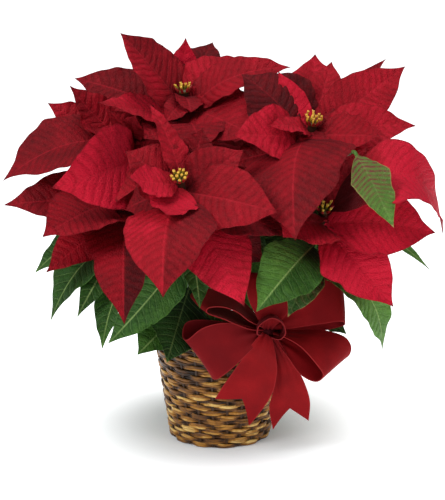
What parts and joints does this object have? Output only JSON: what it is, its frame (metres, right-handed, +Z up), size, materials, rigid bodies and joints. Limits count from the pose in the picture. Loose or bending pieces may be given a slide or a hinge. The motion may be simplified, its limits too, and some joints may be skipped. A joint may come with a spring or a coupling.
{
  "type": "potted poinsettia",
  "caption": "Red poinsettia in a grower's pot, standing in a round woven wicker basket with a red ribbon bow wired to the front of the rim.",
  "frame": {"origin": "centre of the basket's flat underside, on the plane it stands on", "axes": "+Z up, -Y towards the front with the bow, +X to the right seen from the front"},
  "size_m": [0.4525, 0.3863, 0.4282],
  "materials": {
    "bract": "velvety deep red bract",
    "leaf": "soft satin green leaf and stem",
    "flower": "waxy yellow green",
    "wicker": "varnished split cane, golden and brown strands",
    "pot": "thin black plastic",
    "soil": "damp peat",
    "ribbon": "red velvet ribbon",
    "wire": "green florist's wire"
  },
  "bodies": {
    "root": {"wicker_basket": "wicker", "grower_pot": "pot", "potting_soil": "soil", "leafy_stems_left": "leaf", "leafy_stems_middle": "leaf", "leafy_stems_right": "leaf", "bracts_A": "bract", "bracts_B": "bract", "bracts_C": "bract", "bracts_D": "bract", "bracts_E": "bract", "bracts_F": "bract", "bracts_G": "bract", "bracts_H": "bract", "bracts_I": "bract", "flowers_A": "flower", "flowers_B": "flower", "flowers_C": "flower", "flowers_D": "flower", "flowers_E": "flower", "flowers_F": "flower", "flowers_G": "flower", "flowers_H": "flower", "flowers_I": "flower", "bow_ribbon": "ribbon", "bow_wire": "wire"}
  },
  "joints": []
}
